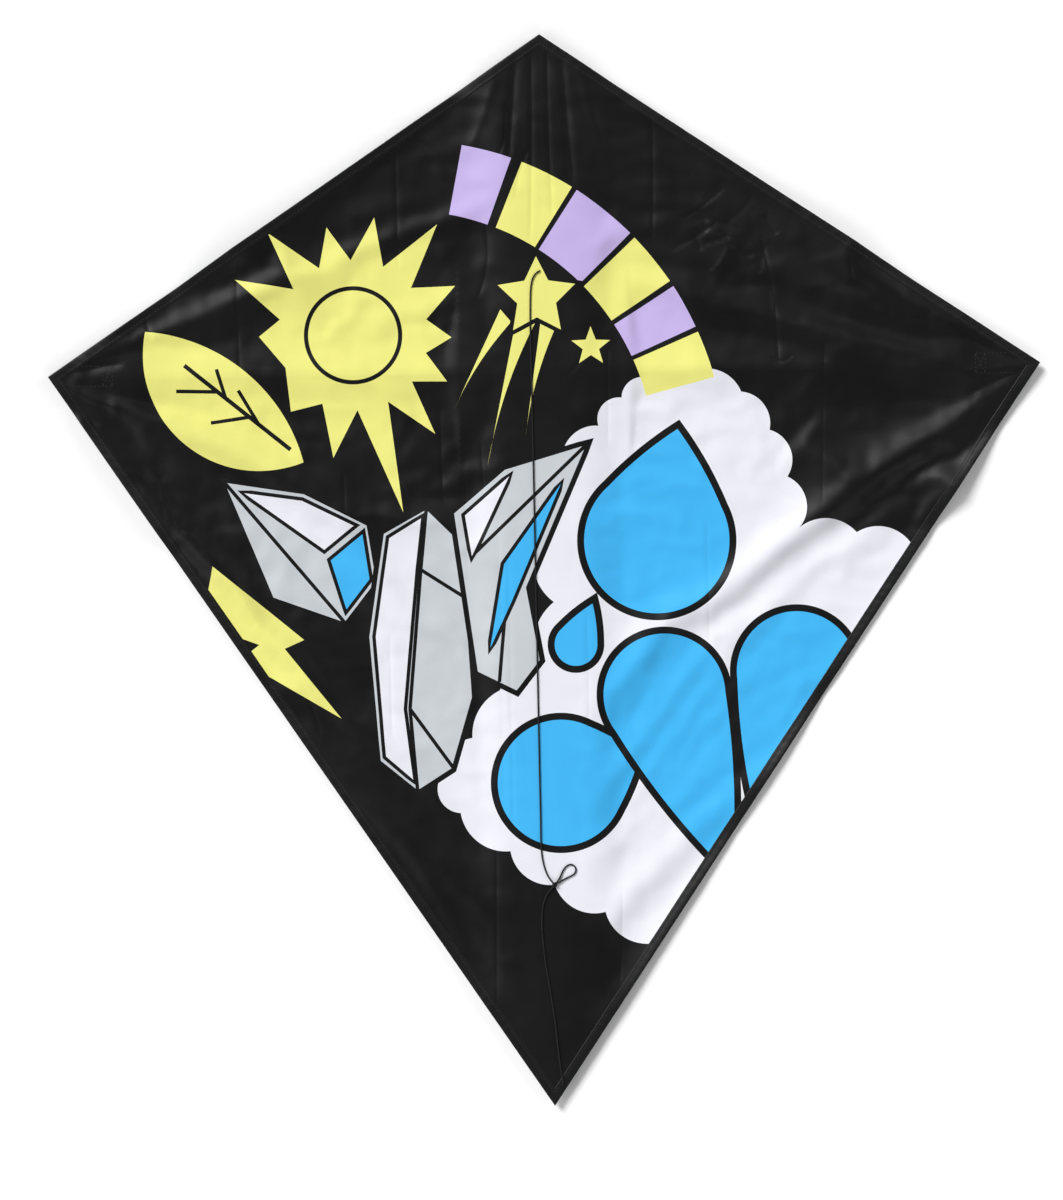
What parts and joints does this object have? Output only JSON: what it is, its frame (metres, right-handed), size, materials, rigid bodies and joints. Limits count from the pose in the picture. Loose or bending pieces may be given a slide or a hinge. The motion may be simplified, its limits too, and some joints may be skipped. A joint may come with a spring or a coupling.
{
  "type": "diamond kite",
  "caption": "Flat diamond kite with a printed black sail, spine and folding cross-spar behind it, edge binding and a two-leg bridle with a tow loop.",
  "frame": {"origin": "middle of the outline, on the plane the kite lies on with its print up", "axes": "+Z out of the printed face, +Y towards the nose, +X to the right as seen from the printed side"},
  "size_m": [0.926, 1, 0.0118],
  "materials": {
    "sail_fabric": "thin woven polyester taffeta, printed in yellow, lilac, blue, grey and pale lavender on black",
    "binding_tape": "folded woven tape, stitched",
    "back_fabric": "woven polyester, stitched",
    "rod_fibreglass": "pultruded glass fibre, satin",
    "vinyl": "soft black vinyl",
    "hub_plastic": "moulded nylon",
    "steel_pin": "plain steel",
    "bridle_line": "braided polyester line"
  },
  "bodies": {
    "spine_frame": {"sail_centre": "sail_fabric", "nose_binding": "binding_tape", "tail_binding": "binding_tape", "spine_sleeve_upper": "back_fabric", "spine_sleeve_lower": "back_fabric", "nose_pocket": "back_fabric", "tail_pocket": "back_fabric", "spine_rod": "rod_fibreglass", "spine_cap_nose": "vinyl", "spine_cap_tail": "vinyl", "hub_body": "hub_plastic", "hub_pin_left": "steel_pin", "hub_pin_right": "steel_pin", "hub_stop_upper": "vinyl", "hub_stop_lower": "vinyl", "bridle_upper_leg": "bridle_line", "bridle_lower_leg": "bridle_line", "tow_loop": "bridle_line", "tow_knot": "bridle_line", "bridle_spine_ring": "bridle_line", "bridle_tail_knot": "bridle_line"},
    "left_wing": {"sail_left": "sail_fabric", "binding_upper_left": "binding_tape", "binding_lower_left": "binding_tape", "wing_pocket_left": "back_fabric", "hub_arm_left": "hub_plastic", "spar_left": "rod_fibreglass", "spar_cap_left": "vinyl"},
    "right_wing": {"sail_right": "sail_fabric", "binding_upper_right": "binding_tape", "binding_lower_right": "binding_tape", "wing_pocket_right": "back_fabric", "hub_arm_right": "hub_plastic", "spar_right": "rod_fibreglass", "spar_cap_right": "vinyl"}
  },
  "joints": [
    {"name": "left_wing_fold", "type": "hinge", "parent": "spine_frame", "child": "left_wing", "pos_m": [-0.029, 0.187, 0.0036], "axis": [0, 1, 0], "range_deg": [0, 88]},
    {"name": "right_wing_fold", "type": "hinge", "parent": "spine_frame", "child": "right_wing", "pos_m": [0.029, 0.187, 0.0036], "axis": [0, -1, 0], "range_deg": [0, 88]}
  ]
}
